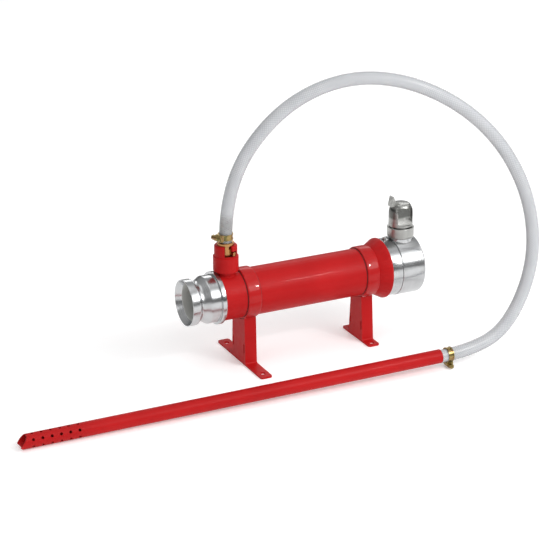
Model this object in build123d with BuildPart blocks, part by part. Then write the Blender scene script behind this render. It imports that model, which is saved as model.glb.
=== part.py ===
from build123d import *
import math
import os

os.makedirs("parts", exist_ok=True)

# An in-line foam inductor: water enters at -X and leaves at +X, and a venturi inside
# the tube draws foam concentrate through a hose from a perforated pick-up wand.
# Millimetres. Origin at the centre of the inlet leg's two bolt holes, on the floor.

# Waterway tube
tube_radius = 38.05
tube_wall = 3.2
tube_start_x = -51.5
tube_end_gap = 1.0
axis_height = 115.0
joint_gap = 0.05
edge_break = 0.8

# Male inlet adapter
adapter_rim_step = 3.95
adapter_rim_width = 7.5
adapter_pocket_depth = 4.5
adapter_body_step = 1.1
adapter_body_length = 16.0
adapter_shoulder_length = 10.0
groove_wall = 2.5
groove_floor_length = 4.5
groove_slope_length = 4.5
lip_step = 4.9
lip_width = 13.0
lip_face_step = 1.2
lip_cone_depth = 9.5
adapter_spigot_length = 7.5
adapter_edge = 1.0
groove_fillet = 1.6
adapter_spigot_wall = 3.4

# Nozzle and diffuser of the venturi
nozzle_seat_step = 1.9
nozzle_flange_thickness = 5.0
nozzle_gasket_thickness = 1.0
nozzle_seat_depth = 2.0
nozzle_ring_thickness = 2.0
nozzle_tip_x = -27.0
nozzle_tip_radius = 8.5
nozzle_tip_land = 3.0
nozzle_wall = 3.0
diffuser_bell_x = -19.0
diffuser_bell_radius = 14.0
throat_start_x = -7.0
throat_end_x = 6.0
throat_radius = 10.5
diffuser_end_gap = 4.0
diffuser_wall = 2.5
diffuser_bell_edge = 1.0
diffuser_ring_width = 8.0

# Legs and the straps that hold the tube on them
leg_spacing = 210.0
leg_depth = 20.0
sheet = 3.0
strap_width = 22.0
strap_thickness = 3.0
strap_chamfer = 0.6
strap_centre_x = 1.0
leg_lap = 1.0
inlet_foot_span = 164.0
inlet_hole_spacing = 134.0
inlet_leg_top_width = 44.0
inlet_leg_foot_width = 50.0
outlet_foot_span = 92.0
outlet_hole_spacing = 72.0
outlet_leg_top_width = 35.0
outlet_leg_foot_width = 47.0
foot_hole_radius = 4.25
foot_corner_radius = 4.0
fold_slot_length = 16.0
fold_slot_width = 3.0
fold_slot_height = 28.0

# Outlet cone and female outlet coupling
cone_length = 20.0
cone_step = 1.0
cone_land = 2.5
cone_start_wall = 1.5
tail_ring_step = 4.0
tail_ring_length = 19.0
tail_spigot_length = 22.0
tail_nose_wall = 3.0
tail_nose_length = 6.0
seal_step = 3.1
seal_length = 8.0
seal_bore_step = 1.5
seal_lip_thickness = 2.5
seal_lip_slope = 3.0
seal_groove_width = 2.0
seal_groove_depth = 4.0
lock_from_cone = 8.0
lock_radius = 2.0
lock_length = 7.5
lock_head_radius = 3.0
lock_head_length = 4.5
lock_hex_radius = 1.5
lock_hex_depth = 2.5
lock_seat_depth = 0.6
coupling_wall = 5.0
coupling_length = 41.0
coupling_entry_play = 1.7
coupling_entry_depth = 14.0
coupling_entry_chamfer = 2.0
coupling_rim_fillet = 3.5
lip_clearance = 0.5

# Twist-release lug on the outlet coupling
lug_from_ring = 18.5
pad_radius = 20.6
pad_step = 1.0
pad_depth = 8.4
housing_radius = 21.8
housing_height = 17.5
housing_foot_radius = 20.4
housing_foot_height = 1.2
chamber_radius = 12.0
chamber_height = 15.0
tooth_radius = 4.0
tooth_tip_play = 2.0
tooth_ramp = 4.5
plunger_collar_radius = 11.7
plunger_collar_thickness = 3.4
plunger_rest_gap = 0.4
stem_radius = 4.0
stem_in_knob = 22.0
running_gap = 0.06
knob_gap = 1.0
knob_radius = 19.6
knob_grip_end = 22.0
knob_shoulder_radius = 16.0
knob_shoulder = 34.5
knob_top_radius = 13.0
knob_height = 37.5
knob_web = 17.4
knob_pocket_width = 26.0
knob_pocket_rim = 4.5
knob_pocket_floor = 13.0
knob_pocket_top = 33.0
knob_pocket_fillet = 3.0
ear_width = 12.0
ear_foot_reach = 21.2
ear_foot = 35.0
ear_tip_reach = 18.0
ear_tip_thickness = 1.8
ear_rise = 13.5
ear_dip_reach = 10.0
ear_dip = 3.0
ear_root_reach = 2.0
knob_twist = 90.0
lug_lift = 6.0
cam_inner_radius = 13.8
cam_outer_radius = 19.6
cam_depth = 5.2
foot_inner_radius = 14.3
foot_outer_radius = 18.6
foot_half_width = 4.0
foot_play = 0.3
ramp_play = 0.5
pin_radius = 1.4
pin_height = 4.5
pin_offset = 4.6
pin_play = 0.4
pin_recess = 1.2
spring_wire = 0.6
spring_turns = 4
spring_play = 0.2

# Foam inlet socket with its bayonet slots
socket_x = -30.8
socket_neck_radius = 14.0
socket_above_rim = 1.5
socket_radius = 20.0
socket_lower_height = 23.5
socket_upper_radius = 18.0
socket_upper_height = 18.5
socket_chamfer = 1.5
socket_bore_radius = 13.4
port_radius = 11.0
slot_entry_from = -121.0
slot_entry_to = -79.0
slot_run_to = -44.0
slot_floor = 1.8
slot_run_height = 9.0

# Brass hose tail and the non-return valve beneath it
tail_body_length = 16.5
tail_neck_radius = 11.0
bayonet_lug_radius = 17.7
bayonet_lug_angle = -60.0
bayonet_lug_half_angle = 13.0
bayonet_lug_height = 6.0
bayonet_lug_play = 1.2
collar_radius = 13.4
collar_height = 4.5
spigot_bore_radius = 5.5
spigot_length = 40.0
barb_pitch = 8.0
barb_depth = 1.0
barb_rise = 0.5
o_ring_radius = 1.6
o_ring_from_end = 5.0
o_ring_fit = 0.1
seat_thickness = 3.5
ball_radius = 6.5
cage_length = 20.0
cage_wall = 1.6
cage_holes = 3
cage_hole_radius = 1.9
cage_hole_circle = 6.0
check_spring_wire = 0.4
check_spring_radius = 3.6
check_spring_turns = 3

# Hose, its clamps and the pick-up wand
hose_radius = 10.5
hose_bore_radius = 7.5
clamp_from_end = 15.0
inlet_clamp_from_end = 9.0
inlet_clamp_angle = 203.0
band_thickness = 0.7
band_width = 9.0
band_ridge = 0.8
band_ridge_width = 1.6
worm_offset = 4.8
worm_radius = 3.3
worm_shell_radius = 4.7
worm_housing_length = 13.0
worm_housing_width = 11.0
worm_head_radius = 4.0
worm_head_length = 5.5
worm_end_play = 0.6
worm_slot_width = 1.2
worm_slot_depth = 1.6
wand_radius = 11.1
wand_wall = 1.6
wand_length = 687.0
hose_first_run = 55.0
hose_last_run = 70.0
hose_bend_share = 0.45
wand_end_x = 261.0
wand_end_y = -165.6
wand_heading = -1.74
wand_tip_cut = 13.0
wand_tip_corner = 6.0
strainer_hole_radius = 2.25
strainer_pitch = 14.0
strainer_holes = 6
strainer_first = 19.5
strainer_row_angle = 92.0
strainer_drills = 3
wand_spigot_insert = 24.0

# Radii about the tube's axis, worked out from the tube and the walls and steps above
tube_bore_radius = tube_radius - tube_wall
adapter_rim_radius = tube_radius + adapter_rim_step
nozzle_flange_radius = tube_bore_radius - joint_gap - adapter_spigot_wall
waterway_radius = nozzle_flange_radius - nozzle_seat_step
groove_radius = waterway_radius + groove_wall
lip_radius = groove_radius + lip_step
lip_face_radius = lip_radius - lip_face_step
adapter_body_radius = lip_radius + adapter_body_step
seal_bore_radius = waterway_radius + seal_bore_step
seal_radius = lip_radius + seal_step
tail_nose_radius = seal_radius + tail_nose_wall
tail_ring_radius = tail_nose_radius + tail_ring_step
coupling_radius = tail_nose_radius + coupling_wall
coupling_entry_radius = lip_radius + coupling_entry_play
cone_radius = coupling_radius + cone_step
pad_height = coupling_radius + pad_step
tooth_tip_height = groove_radius + tooth_tip_play
socket_neck_height = adapter_rim_radius + socket_above_rim

# Stations along the tube
rim_back_x = tube_start_x + adapter_pocket_depth
rim_front_x = rim_back_x - adapter_rim_width
body_front_x = rim_front_x - adapter_body_length
groove_back_x = body_front_x - adapter_shoulder_length
groove_front_x = groove_back_x - groove_floor_length
lip_back_x = groove_front_x - groove_slope_length
lip_front_x = lip_back_x - lip_width
spigot_back_x = tube_start_x + adapter_spigot_length
nozzle_seat_x = tube_start_x - nozzle_seat_depth
nozzle_front_x = nozzle_seat_x + nozzle_gasket_thickness
nozzle_flange_back_x = nozzle_front_x + nozzle_flange_thickness
nozzle_ring_back_x = nozzle_flange_back_x + nozzle_ring_thickness
strap_radius = tube_radius + strap_thickness
cone_start_x = leg_spacing + strap_centre_x + strap_width / 2
cone_end_x = cone_start_x + cone_length
tube_end_x = cone_end_x - tube_end_gap
spigot_start_x = cone_end_x - tail_spigot_length
diffuser_end_x = spigot_start_x - diffuser_end_gap
ring_end_x = cone_end_x + tail_ring_length
seal_start_x = ring_end_x - seal_length
coupling_end_x = ring_end_x + coupling_length
lug_x = ring_end_x + lug_from_ring
socket_seat = socket_neck_height + socket_lower_height
socket_top = socket_seat + socket_upper_height
tail_bottom = socket_seat - tail_body_length

tube_axis = Axis((0, 0, axis_height), (1, 0, 0))
tube_plane = Plane(origin=(0, 0, axis_height), x_dir=(1, 0, 0), z_dir=(0, -1, 0))
socket_axis = Axis((socket_x, 0, 0), (0, 0, 1))
socket_plane = Plane(origin=(socket_x, 0, axis_height), x_dir=(1, 0, 0), z_dir=(0, -1, 0))
lug_axis = Axis((lug_x, 0, 0), (0, 0, 1))
lug_plane = Plane(origin=(lug_x, 0, axis_height), x_dir=(1, 0, 0), z_dir=(0, -1, 0))


def turned(points, plane, axis):
    """A closed outline of (along, across) points, turned about an axis."""
    with BuildPart() as piece:
        with BuildSketch(plane):
            with BuildLine():
                Polyline(*points, close=True)
            make_face()
        revolve(axis=axis)
    return piece.part


def wedge(radius, start, end):
    """Corners of a wedge of at most a third of a turn, reaching past the given radius."""
    reach = radius / math.cos(math.radians((end - start) / 2)) + 1
    corners = [(0, 0)]
    for angle in (start, end):
        corners.append((reach * math.cos(math.radians(angle)), reach * math.sin(math.radians(angle))))
    return corners


# Waterway tube, with the port for the foam socket
with BuildPart() as body_tube:
    with BuildSketch(Plane.YZ.offset(tube_start_x)):
        with Locations((0, axis_height)):
            Circle(tube_radius)
            Circle(tube_bore_radius, mode=Mode.SUBTRACT)
    extrude(amount=tube_end_x - tube_start_x)
    with BuildSketch(Plane.XY.offset(axis_height)):
        with Locations((socket_x, 0)):
            Circle(port_radius + joint_gap)
    extrude(amount=tube_radius + 1, mode=Mode.SUBTRACT)

# Male inlet adapter: lip, groove, body and rim, with a pocket that takes the tube's end
with BuildPart() as male_inlet_adapter:
    with BuildSketch(tube_plane) as adapter_section:
        with BuildLine():
            Polyline(
                (lip_front_x + lip_cone_depth, waterway_radius),
                (lip_front_x, lip_face_radius),
                (lip_front_x, lip_radius),
                (lip_back_x, lip_radius),
                (groove_front_x, groove_radius),
                (groove_back_x, groove_radius),
                (body_front_x, adapter_body_radius),
                (rim_front_x, adapter_body_radius),
                (rim_front_x, adapter_rim_radius),
                (rim_back_x - adapter_edge, adapter_rim_radius),
                (rim_back_x, adapter_rim_radius - adapter_edge),
                (rim_back_x, tube_radius + joint_gap),
                (tube_start_x, tube_radius + joint_gap),
                (tube_start_x, tube_bore_radius - joint_gap),
                (spigot_back_x, tube_bore_radius - joint_gap),
                (spigot_back_x, nozzle_flange_radius + joint_gap),
                (nozzle_seat_x, nozzle_flange_radius + joint_gap),
                (nozzle_seat_x, waterway_radius),
                close=True,
            )
        make_face()
        groove_corners = adapter_section.vertices().filter_by_position(Axis.X, lip_back_x, body_front_x)
        fillet(groove_corners, radius=groove_fillet)
    revolve(axis=tube_axis)

# Nozzle of the venturi, its gasket and the ring that holds it in the adapter
nozzle_gasket = turned(
    [
        (nozzle_seat_x, waterway_radius),
        (nozzle_seat_x, nozzle_flange_radius),
        (nozzle_front_x, nozzle_flange_radius),
        (nozzle_front_x, waterway_radius),
    ],
    tube_plane,
    tube_axis,
)
with BuildPart() as inlet_nozzle:
    with BuildSketch(tube_plane):
        with BuildLine():
            inside = Spline(
                (nozzle_front_x, waterway_radius),
                (nozzle_tip_x - nozzle_tip_land, nozzle_tip_radius),
                tangents=((0.6, -1), (1, -0.12)),
            )
            land = Line(inside @ 1, (nozzle_tip_x, nozzle_tip_radius))
            tip = Line(land @ 1, (nozzle_tip_x, nozzle_tip_radius + nozzle_wall))
            outside = Spline(
                tip @ 1,
                (nozzle_flange_back_x, waterway_radius - nozzle_wall / 2),
                tangents=((-1, 0.16), (-0.7, 1)),
            )
            Polyline(
                outside @ 1,
                (nozzle_flange_back_x, nozzle_flange_radius),
                (nozzle_front_x, nozzle_flange_radius),
                inside @ 0,
            )
        make_face()
    revolve(axis=tube_axis)
nozzle_retaining_ring = turned(
    [
        (nozzle_flange_back_x, waterway_radius),
        (nozzle_flange_back_x, nozzle_flange_radius),
        (nozzle_ring_back_x, nozzle_flange_radius),
        (nozzle_ring_back_x, waterway_radius),
    ],
    tube_plane,
    tube_axis,
)

# Diffuser: bell, throat and long widening cone, centred in the tube by two rings
ring_radius = tube_bore_radius - joint_gap
diffuser_front_ring_x = throat_start_x - diffuser_ring_width / 2
diffuser = turned(
    [
        (diffuser_bell_x, diffuser_bell_radius),
        (throat_start_x, throat_radius),
        (throat_end_x, throat_radius),
        (diffuser_end_x, waterway_radius),
        (diffuser_end_x, ring_radius),
        (diffuser_end_x - diffuser_ring_width, ring_radius),
        (diffuser_end_x - diffuser_ring_width, waterway_radius + diffuser_wall),
        (throat_end_x, throat_radius + diffuser_wall),
        (diffuser_front_ring_x + diffuser_ring_width, throat_radius + diffuser_wall),
        (diffuser_front_ring_x + diffuser_ring_width, ring_radius),
        (diffuser_front_ring_x, ring_radius),
        (diffuser_front_ring_x, diffuser_bell_radius + diffuser_wall),
        (diffuser_bell_x, diffuser_bell_radius + diffuser_bell_edge),
    ],
    tube_plane,
    tube_axis,
)


def strap_band(centre_x):
    """The ring of strip that holds the tube down on a leg."""
    with BuildPart() as band:
        with BuildSketch(Plane.YZ.offset(centre_x)):
            with Locations((0, axis_height)):
                Circle(strap_radius)
                Circle(tube_radius + joint_gap, mode=Mode.SUBTRACT)
        extrude(amount=strap_width / 2, both=True)
        chamfer(band.edges().filter_by(GeomType.CIRCLE).group_by(SortBy.RADIUS)[-1], length=strap_chamfer)
    return band.part


def leg_bracket(hole_x, top_width, foot_width, foot_span, hole_spacing):
    """A folded channel leg: web towards the inlet, a flange each side and two turned-out feet."""
    top_half = top_width / 2
    foot_half = foot_width / 2
    top_z = axis_height - math.sqrt(strap_radius**2 - top_half**2) + leg_lap
    web_x = hole_x - leg_depth / 2
    with BuildPart() as leg:
        with BuildSketch(Plane.YZ.offset(web_x)) as flange_section:
            with BuildLine():
                Polyline(
                    (-foot_span / 2, 0),
                    (-foot_half + sheet, 0),
                    (-top_half + sheet, top_z),
                    (-top_half, top_z),
                    (-foot_half, sheet),
                    (-foot_span / 2, sheet),
                    close=True,
                )
            make_face()
            bend = flange_section.vertices().filter_by_position(Axis.X, -foot_half, -foot_half + sheet)
            fillet(bend.filter_by_position(Axis.Y, 0, sheet), radius=sheet)
            mirror(about=Plane.YZ)
        extrude(amount=leg_depth)
        with BuildSketch(Plane.YZ.offset(web_x)):
            with BuildLine():
                Polyline(
                    (-foot_half + leg_lap, 0),
                    (foot_half - leg_lap, 0),
                    (top_half - leg_lap, top_z),
                    (-top_half + leg_lap, top_z),
                    close=True,
                )
            make_face()
        extrude(amount=sheet)
        foot_corners = leg.edges().filter_by(Axis.Z).group_by(Axis.Y)
        fillet(foot_corners[0] + foot_corners[-1], radius=foot_corner_radius)
        with BuildSketch(Plane.XY.offset(sheet)):
            with Locations((hole_x, -hole_spacing / 2), (hole_x, hole_spacing / 2)):
                Circle(foot_hole_radius)
        extrude(amount=-sheet, mode=Mode.SUBTRACT)
        with BuildSketch(Plane.YZ.offset(web_x)):
            with Locations((0, axis_height)):
                Circle(strap_radius + joint_gap)
            slot_y = foot_half - sheet - fold_slot_width / 2 - leg_lap
            with Locations((-slot_y, fold_slot_height), (slot_y, fold_slot_height)):
                SlotOverall(fold_slot_length, fold_slot_width, rotation=90)
        extrude(amount=sheet, mode=Mode.SUBTRACT)
        with BuildSketch(Plane.YZ.offset(web_x)):
            with Locations((0, axis_height)):
                Circle(strap_radius + joint_gap)
        extrude(amount=leg_depth, mode=Mode.SUBTRACT)
    return leg.part


inlet_strap_band = strap_band(strap_centre_x)
outlet_strap_band = strap_band(leg_spacing + strap_centre_x)
inlet_leg = leg_bracket(0, inlet_leg_top_width, inlet_leg_foot_width, inlet_foot_span, inlet_hole_spacing)
outlet_leg = leg_bracket(
    leg_spacing, outlet_leg_top_width, outlet_leg_foot_width, outlet_foot_span, outlet_hole_spacing
)

# Outlet cone, welded over the tube's end
outlet_cone = turned(
    [
        (cone_start_x, tube_radius + joint_gap),
        (cone_start_x, tube_radius + cone_start_wall),
        (cone_end_x - cone_land, cone_radius),
        (cone_end_x, cone_radius),
        (cone_end_x, tube_radius + joint_gap),
    ],
    tube_plane,
    tube_axis,
)

# Tail of the outlet coupling: spigot in the tube, ring, and the pocket of the seal
lock_seat = math.sqrt(tail_ring_radius**2 - lock_head_radius**2) - lock_seat_depth
lock_plane = Plane(origin=(cone_end_x + lock_from_cone, 0, axis_height + lock_seat))
with BuildPart() as coupling_tail:
    with BuildSketch(tube_plane):
        with BuildLine():
            Polyline(
                (spigot_start_x, waterway_radius),
                (spigot_start_x, ring_radius),
                (cone_end_x, ring_radius),
                (cone_end_x, tail_ring_radius),
                (ring_end_x - edge_break, tail_ring_radius),
                (ring_end_x, tail_ring_radius - edge_break),
                (ring_end_x, tail_nose_radius),
                (ring_end_x + tail_nose_length, tail_nose_radius),
                (ring_end_x + tail_nose_length, lip_radius + lip_clearance),
                (ring_end_x, lip_radius + lip_clearance),
                (ring_end_x, seal_radius),
                (seal_start_x, seal_radius),
                (seal_start_x, waterway_radius),
                close=True,
            )
        make_face()
    revolve(axis=tube_axis)
    with BuildSketch(lock_plane):
        Circle(lock_head_radius + 4 * joint_gap)
    extrude(amount=lock_head_length, mode=Mode.SUBTRACT)
    with BuildSketch(lock_plane):
        Circle(lock_radius + joint_gap)
    extrude(amount=-lock_length - 4 * joint_gap, mode=Mode.SUBTRACT)

seal_lip_x = ring_end_x - seal_lip_thickness
coupling_seal = turned(
    [
        (seal_start_x, seal_bore_radius),
        (seal_start_x, seal_radius - joint_gap),
        (ring_end_x, seal_radius - joint_gap),
        (ring_end_x, seal_bore_radius + seal_lip_slope),
        (seal_lip_x, seal_bore_radius + seal_lip_slope / 2),
        (seal_lip_x - seal_groove_width, seal_bore_radius + seal_groove_depth),
        (seal_lip_x - seal_groove_width, seal_bore_radius),
    ],
    tube_plane,
    tube_axis,
)

# Female outlet coupling, with the pad and the radial hole of the release lug
entry_floor_x = coupling_end_x - coupling_entry_depth
with BuildPart() as coupling_body:
    with BuildSketch(tube_plane) as coupling_section:
        with BuildLine():
            Polyline(
                (ring_end_x, tail_nose_radius + joint_gap),
                (ring_end_x, coupling_radius - edge_break),
                (ring_end_x + edge_break, coupling_radius),
                (coupling_end_x, coupling_radius),
                (coupling_end_x, coupling_entry_radius + coupling_entry_chamfer),
                (coupling_end_x - coupling_entry_chamfer, coupling_entry_radius),
                (entry_floor_x, coupling_entry_radius),
                (entry_floor_x - coupling_entry_chamfer, lip_radius + lip_clearance),
                (ring_end_x + tail_nose_length, lip_radius + lip_clearance),
                (ring_end_x + tail_nose_length, tail_nose_radius + joint_gap),
                close=True,
            )
        make_face()
        rim_corner = coupling_section.vertices().group_by(Axis.X)[-1].sort_by(Axis.Y)[-1]
        fillet(rim_corner, radius=coupling_rim_fillet)
    revolve(axis=tube_axis)
    with BuildSketch(Plane.XY.offset(axis_height + pad_height)):
        with Locations((lug_x, 0)):
            Circle(pad_radius)
        with Locations((ring_end_x, 0)):
            Rectangle(
                coupling_length, 2 * pad_radius, align=(Align.MIN, Align.CENTER), mode=Mode.INTERSECT
            )
    extrude(amount=-pad_depth)
    with BuildSketch(tube_plane):
        with BuildLine():
            Polyline(
                (ring_end_x, 0),
                (ring_end_x, tail_nose_radius + joint_gap),
                (ring_end_x + tail_nose_length, tail_nose_radius + joint_gap),
                (ring_end_x + tail_nose_length, 0),
                close=True,
            )
        make_face()
    revolve(axis=tube_axis, mode=Mode.SUBTRACT)
    with BuildSketch(Plane.XY.offset(axis_height)):
        with Locations((lug_x, 0)):
            Circle(tooth_radius + running_gap)
    extrude(amount=pad_height + 1, mode=Mode.SUBTRACT)

# Socket-head screw that locks the coupling's tail
with BuildPart() as locking_screw:
    with BuildSketch(lock_plane):
        Circle(lock_radius)
    extrude(amount=-lock_length)
    with BuildSketch(lock_plane):
        Circle(lock_head_radius)
    extrude(amount=lock_head_length)
    with BuildSketch(lock_plane.offset(lock_head_length)):
        RegularPolygon(radius=lock_hex_radius, side_count=6)
    extrude(amount=-lock_hex_depth, mode=Mode.SUBTRACT)

# Housing of the release lug: spring chamber, guide hole and two cam ramps in its top
housing_top = pad_height + housing_height
cam_floor = housing_top - cam_depth
stem_hole = stem_radius + running_gap
ramp_start = foot_half_width + ramp_play
ramp_rise = (cam_outer_radius - ramp_start) * lug_lift / math.radians(knob_twist) / cam_outer_radius
with BuildPart() as lug_housing:
    with BuildSketch(lug_plane):
        with BuildLine():
            Polyline(
                (chamber_radius, pad_height),
                (housing_foot_radius, pad_height),
                (housing_foot_radius, pad_height + housing_foot_height),
                (housing_radius, pad_height + housing_foot_height + edge_break),
                (housing_radius, housing_top - edge_break),
                (housing_radius - edge_break, housing_top),
                (stem_hole, housing_top),
                (stem_hole, pad_height + chamber_height),
                (chamber_radius, pad_height + chamber_height),
                close=True,
            )
        make_face()
    revolve(axis=lug_axis)
    with BuildPart(mode=Mode.PRIVATE) as cam_groove:
        for side in (1, -1):
            with BuildSketch(Plane.YZ.offset(lug_x - side * ramp_start)):
                with BuildLine():
                    Polyline(
                        (-side * ramp_start, axis_height + cam_floor),
                        (side * ramp_start, axis_height + cam_floor),
                        (side * cam_outer_radius, axis_height + cam_floor + ramp_rise),
                        (side * cam_outer_radius, axis_height + housing_top + 1),
                        (-side * ramp_start, axis_height + housing_top + 1),
                        close=True,
                    )
                make_face()
            extrude(amount=side * (ramp_start + cam_outer_radius))
        with BuildSketch(Plane.XY.offset(axis_height + cam_floor)):
            with Locations((lug_x, 0)):
                Circle(cam_outer_radius)
                Circle(cam_inner_radius, mode=Mode.SUBTRACT)
        extrude(amount=cam_depth + 1, mode=Mode.INTERSECT)
    add(cam_groove.part, mode=Mode.SUBTRACT)

# Plunger: tooth with a ramped nose, collar and stem
collar_bottom = pad_height + plunger_rest_gap
collar_top = collar_bottom + plunger_collar_thickness
knob_bottom = housing_top + knob_gap
stem_top = knob_bottom + stem_in_knob
pin_z = knob_bottom + pin_height
groove_half = pin_radius + pin_play
stem_neck = stem_radius - 1
with BuildPart() as lug_plunger:
    with BuildSketch(lug_plane):
        with BuildLine():
            Polyline(
                (0, tooth_tip_height),
                (tooth_radius, tooth_tip_height),
                (tooth_radius, collar_bottom),
                (plunger_collar_radius, collar_bottom),
                (plunger_collar_radius, collar_top),
                (stem_radius, collar_top),
                (stem_radius, pin_z - groove_half),
                (stem_neck, pin_z - groove_half),
                (stem_neck, pin_z + groove_half),
                (stem_radius, pin_z + groove_half),
                (stem_radius, stem_top - edge_break),
                (stem_radius - edge_break, stem_top),
                (0, stem_top),
                close=True,
            )
        make_face()
    revolve(axis=lug_axis)
    with BuildSketch(lug_plane):
        with BuildLine():
            Polyline(
                (0, tooth_tip_height),
                (0, tooth_tip_height - 1),
                (tooth_radius + 1, tooth_tip_height - 1),
                (tooth_radius + 1, tooth_tip_height + tooth_ramp),
                close=True,
            )
        make_face()
    extrude(amount=tooth_radius + 1, both=True, mode=Mode.SUBTRACT)

# Return spring of the lug
chamber_top = pad_height + chamber_height
spring_rise = chamber_top - collar_top - 2 * spring_play - 2 * spring_wire
spring_radius = (chamber_radius + stem_radius) / 2
with BuildPart() as lug_spring:
    with BuildLine(Plane(origin=(lug_x, 0, axis_height + collar_top + spring_play + spring_wire))):
        coil = Helix(pitch=spring_rise / spring_turns, height=spring_rise, radius=spring_radius)
    with BuildSketch(Plane(origin=coil @ 0, x_dir=(1, 0, 0), z_dir=coil % 0)):
        Rectangle(2 * spring_wire, 2 * spring_wire)
    sweep(is_frenet=True)

# Release knob: domed barrel, raised ear, two finger pockets and the feet that ride on the ramps
knob_top = knob_bottom + knob_height
ear_top = knob_top + ear_rise
pocket_rise = knob_pocket_floor - knob_pocket_rim
with BuildPart() as release_knob:
    with BuildSketch(lug_plane):
        with BuildLine():
            dome = Spline(
                (knob_radius, knob_bottom + knob_grip_end),
                (knob_shoulder_radius, knob_bottom + knob_shoulder),
                (knob_top_radius, knob_top),
                tangents=((0, 1), (-1, 0.3)),
            )
            Polyline(
                dome @ 1,
                (0, knob_top),
                (0, knob_bottom),
                (knob_radius - edge_break, knob_bottom),
                (knob_radius, knob_bottom + edge_break),
                dome @ 0,
            )
        make_face()
    revolve(axis=lug_axis)
    for side in (1, -1):
        with BuildPart(mode=Mode.PRIVATE) as finger_pocket:
            with BuildSketch(Plane.YZ.offset(lug_x)):
                with BuildLine():
                    Polyline(
                        (side * knob_web / 2, axis_height + knob_bottom + knob_pocket_floor),
                        (side * (knob_web / 2 + pocket_rise), axis_height + knob_bottom + knob_pocket_rim),
                        (side * (knob_radius + 1), axis_height + knob_bottom + knob_pocket_rim),
                        (side * (knob_radius + 1), axis_height + knob_bottom + knob_pocket_top),
                        (side * knob_web / 2, axis_height + knob_bottom + knob_pocket_top),
                        close=True,
                    )
                make_face()
            extrude(amount=knob_pocket_width / 2, both=True)
            inner_corners = finger_pocket.edges().filter_by(Axis.Z).group_by(Axis.Y)[0 if side > 0 else -1]
            fillet(inner_corners, radius=knob_pocket_fillet)
        add(finger_pocket.part, mode=Mode.SUBTRACT)
    with BuildSketch(lug_plane):
        with BuildLine():
            crest = ThreePointArc(
                (ear_tip_thickness - ear_tip_reach, ear_top),
                (-ear_dip_reach, knob_top + ear_dip),
                (-ear_root_reach, knob_top - edge_break),
            )
            Polyline(
                crest @ 1,
                (-ear_root_reach, knob_bottom + ear_foot),
                (-ear_foot_reach, knob_bottom + ear_foot),
                (-ear_tip_reach, ear_top - edge_break),
                crest @ 0,
            )
        make_face()
    extrude(amount=ear_width / 2, both=True)
    with BuildSketch(Plane.XY.offset(axis_height + knob_bottom)):
        with Locations((lug_x, 0)):
            Rectangle(2 * foot_outer_radius, 2 * foot_half_width)
            Rectangle(2 * foot_inner_radius, 2 * foot_half_width, mode=Mode.SUBTRACT)
    extrude(amount=-(knob_gap + cam_depth - foot_play))
    with BuildSketch(Plane.XY.offset(axis_height + knob_bottom)):
        with Locations((lug_x, 0)):
            Circle(stem_hole)
    extrude(amount=stem_top - knob_bottom + 1, mode=Mode.SUBTRACT)
    with BuildSketch(Plane.YZ.offset(lug_x)):
        with Locations((pin_offset, axis_height + pin_z)):
            Circle(pin_radius)
    extrude(amount=knob_radius, both=True, mode=Mode.SUBTRACT)

# Pin that keeps the knob on the stem, in the stem's groove
with BuildPart() as knob_pin:
    with BuildSketch(Plane.YZ.offset(lug_x)):
        with Locations((pin_offset, axis_height + pin_z)):
            Circle(pin_radius)
    extrude(amount=knob_radius - pin_recess, both=True)

# Foam inlet socket on its neck, with two bayonet slots
with BuildPart() as foam_inlet_socket:
    with BuildSketch(socket_plane):
        with BuildLine():
            Polyline(
                (port_radius, tube_bore_radius),
                (socket_neck_radius, tube_bore_radius),
                (socket_neck_radius, socket_neck_height),
                (socket_radius, socket_neck_height),
                (socket_radius, socket_seat),
                (socket_upper_radius, socket_seat + edge_break),
                (socket_upper_radius, socket_top - socket_chamfer),
                (socket_upper_radius - socket_chamfer, socket_top),
                (socket_bore_radius + joint_gap, socket_top),
                (socket_bore_radius + joint_gap, tail_bottom),
                (port_radius, tail_bottom),
                close=True,
            )
        make_face()
    revolve(axis=socket_axis)
    with BuildSketch(Plane.YZ.offset(socket_x)):
        with Locations((0, axis_height)):
            Circle(tube_radius)
    extrude(amount=socket_radius + 1, both=True, mode=Mode.SUBTRACT)
    for turn in (0, 180):
        with BuildSketch(Plane.XY.offset(axis_height + socket_seat + slot_floor)):
            with Locations((socket_x, 0)):
                Polygon(*wedge(socket_radius, slot_entry_from + turn, slot_entry_to + turn), align=None)
        extrude(amount=socket_upper_height, mode=Mode.SUBTRACT)
        with BuildSketch(Plane.XY.offset(axis_height + socket_seat + slot_floor)):
            with Locations((socket_x, 0)):
                Polygon(*wedge(socket_radius, slot_entry_from + turn, slot_run_to + turn), align=None)
        extrude(amount=slot_run_height, mode=Mode.SUBTRACT)

# Hose tail: body in the socket, two bayonet lugs, collar and a barbed spigot
lug_floor = socket_seat + slot_floor + bayonet_lug_play
hose_start = socket_top + collar_height
o_ring_bottom = tail_bottom + o_ring_from_end
o_ring_top = o_ring_bottom + 2 * o_ring_radius
o_ring_groove_radius = socket_bore_radius - 2 * o_ring_radius + o_ring_fit


def barbs(start, bore):
    """Outline points of a barbed spigot along its axis, from its root to its end and back."""
    points = []
    step = start
    while step + barb_pitch < start + spigot_length:
        points.append((hose_bore_radius - barb_depth, step))
        points.append((hose_bore_radius, step + barb_rise))
        step += barb_pitch
    points.append((hose_bore_radius - barb_depth, step))
    points.append((hose_bore_radius - barb_depth, start + spigot_length))
    points.append((bore, start + spigot_length))
    return points


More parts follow.
